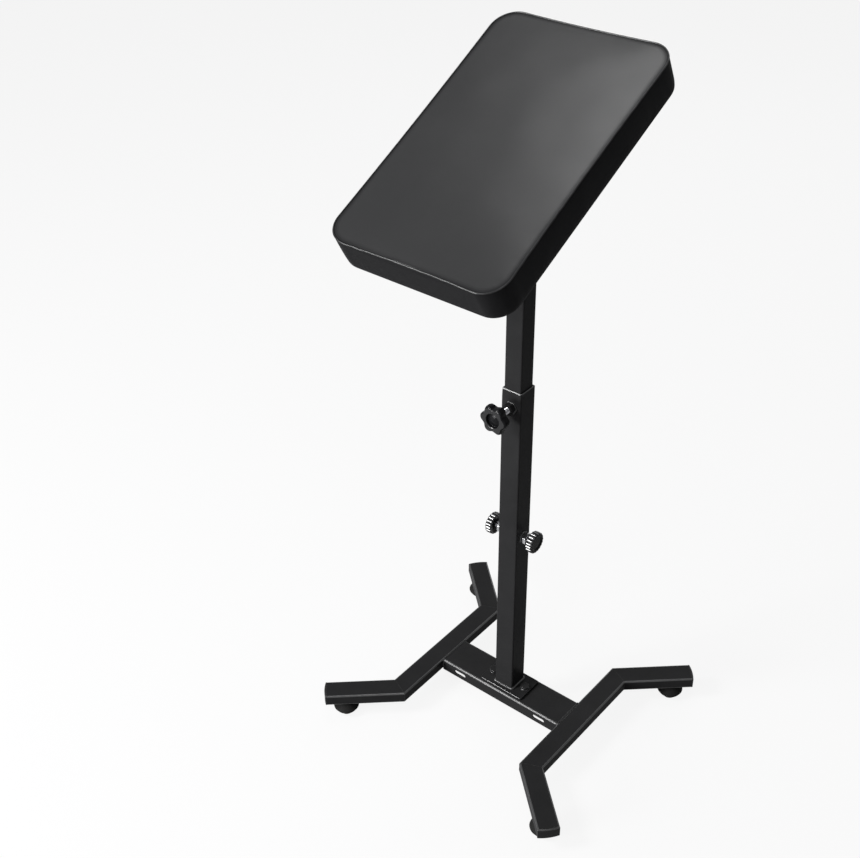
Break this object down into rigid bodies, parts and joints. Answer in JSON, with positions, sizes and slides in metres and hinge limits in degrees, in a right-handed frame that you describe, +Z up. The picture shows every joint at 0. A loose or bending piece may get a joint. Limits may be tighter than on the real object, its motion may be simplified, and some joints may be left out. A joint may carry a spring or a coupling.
{
  "type": "tattoo arm rest stand",
  "caption": "Height-adjustable stand with a tilting, padded rectangular arm rest on a telescoping square column and an H-shaped tube base with rubber feet.",
  "frame": {"origin": "on the floor, in the middle of the stand's footprint; the column's axis is 8 mm behind it, at x = 0, y = 8 mm", "axes": "+Z up along the column, +X along the crossbar towards the tilt knob's side, -Y towards the low end of the pad"},
  "size_m": [0.4822, 0.4623, 1.1247],
  "materials": {
    "painted_steel": "satin",
    "moulded_plastic": "satin",
    "knob_plastic": "gloss",
    "foot_rubber": "matte",
    "zinc_steel": "satin",
    "bright_nut": "polished",
    "brass": "satin",
    "nylon": "satin",
    "plywood": "matte",
    "foam": "matte",
    "vinyl": "satin",
    "dust_fabric": "matte"
  },
  "bodies": {
    "base": {"rail_right_middle": "painted_steel", "rail_right_near": "painted_steel", "rail_right_far": "painted_steel", "rail_left_middle": "painted_steel", "rail_left_near": "painted_steel", "rail_left_far": "painted_steel", "end_cap_right_near": "moulded_plastic", "end_cap_right_far": "moulded_plastic", "end_cap_left_near": "moulded_plastic", "end_cap_left_far": "moulded_plastic", "foot_right_near": "foot_rubber", "foot_right_far": "foot_rubber", "foot_left_near": "foot_rubber", "foot_left_far": "foot_rubber", "foot_screws": "zinc_steel", "foot_inserts": "zinc_steel", "crossbar": "painted_steel", "base_plate": "painted_steel", "plate_bolts": "painted_steel", "plate_washers": "zinc_steel", "plate_nuts": "zinc_steel", "outer_tube": "painted_steel", "guide_bush": "moulded_plastic", "top_clamp_nut": "painted_steel", "left_clamp_nut": "bright_nut", "right_clamp_nut": "bright_nut"},
    "mast": {"inner_tube": "painted_steel", "glide_plug": "moulded_plastic", "top_plug": "moulded_plastic", "tilt_sleeve": "zinc_steel"},
    "head": {"tilt_bracket": "painted_steel", "friction_washers": "nylon", "tilt_bolt": "zinc_steel", "tilt_bolt_washer": "zinc_steel", "pad_plate": "painted_steel", "pad_screws": "zinc_steel", "tee_nuts": "zinc_steel", "plywood_board": "plywood", "foam_core": "foam", "vinyl_cover": "vinyl", "dust_cover": "dust_fabric"},
    "tilt_washer": {"tilt_knob_washer": "zinc_steel"},
    "tilt_star": {"tilt_knob": "knob_plastic", "tilt_knob_insert": "brass"},
    "top_tip": {"top_pressure_pad": "nylon"},
    "top_star": {"top_clamp_screw": "zinc_steel", "top_clamp_knob": "knob_plastic"},
    "left_tip": {"left_pressure_pad": "nylon"},
    "left_fluted": {"left_clamp_screw": "zinc_steel", "left_clamp_knob": "knob_plastic"},
    "right_tip": {"right_pressure_pad": "nylon"},
    "right_fluted": {"right_clamp_screw": "zinc_steel", "right_clamp_knob": "knob_plastic"}
  },
  "joints": [
    {"name": "height_slide", "type": "slide", "parent": "base", "child": "mast", "axis": [0, 0, 1], "range_m": [-0.23, 0.03]},
    {"name": "pad_tilt", "type": "hinge", "parent": "mast", "child": "head", "pos_m": [0, 0.008, 0.956], "axis": [1, 0, 0], "range_deg": [-27.5, 42.5]},
    {"name": "tilt_knob_travel", "type": "slide", "parent": "head", "child": "tilt_washer", "axis": [1, 0, 0], "range_m": [0, 0.003]},
    {"name": "tilt_knob_turn", "type": "hinge", "parent": "tilt_washer", "child": "tilt_star", "pos_m": [0, 0.008, 0.956], "axis": [1, 0, 0], "range_deg": [0, 720]},
    {"name": "top_clamp_travel", "type": "slide", "parent": "base", "child": "top_tip", "axis": [0, -1, 0], "range_m": [0, 0.003]},
    {"name": "top_clamp_turn", "type": "hinge", "parent": "top_tip", "child": "top_star", "pos_m": [0, 0.008, 0.614], "axis": [0, -1, 0], "range_deg": [0, 720]},
    {"name": "left_clamp_travel", "type": "slide", "parent": "base", "child": "left_tip", "axis": [-1, 0, 0], "range_m": [0, 0.003]},
    {"name": "left_clamp_turn", "type": "hinge", "parent": "left_tip", "child": "left_fluted", "pos_m": [0, 0.008, 0.372], "axis": [-1, 0, 0], "range_deg": [0, 720]},
    {"name": "right_clamp_travel", "type": "slide", "parent": "base", "child": "right_tip", "axis": [1, 0, 0], "range_m": [0, 0.003]},
    {"name": "right_clamp_turn", "type": "hinge", "parent": "right_tip", "child": "right_fluted", "pos_m": [0, 0.008, 0.372], "axis": [1, 0, 0], "range_deg": [0, 720]}
  ],
  "couplings": [
    {"joint": "tilt_knob_travel", "follows": "tilt_knob_turn", "m_per_rad": 0.00023873},
    {"joint": "top_clamp_travel", "follows": "top_clamp_turn", "m_per_rad": 0.00023873},
    {"joint": "left_clamp_travel", "follows": "left_clamp_turn", "m_per_rad": 0.00023873},
    {"joint": "right_clamp_travel", "follows": "right_clamp_turn", "m_per_rad": 0.00023873}
  ]
}
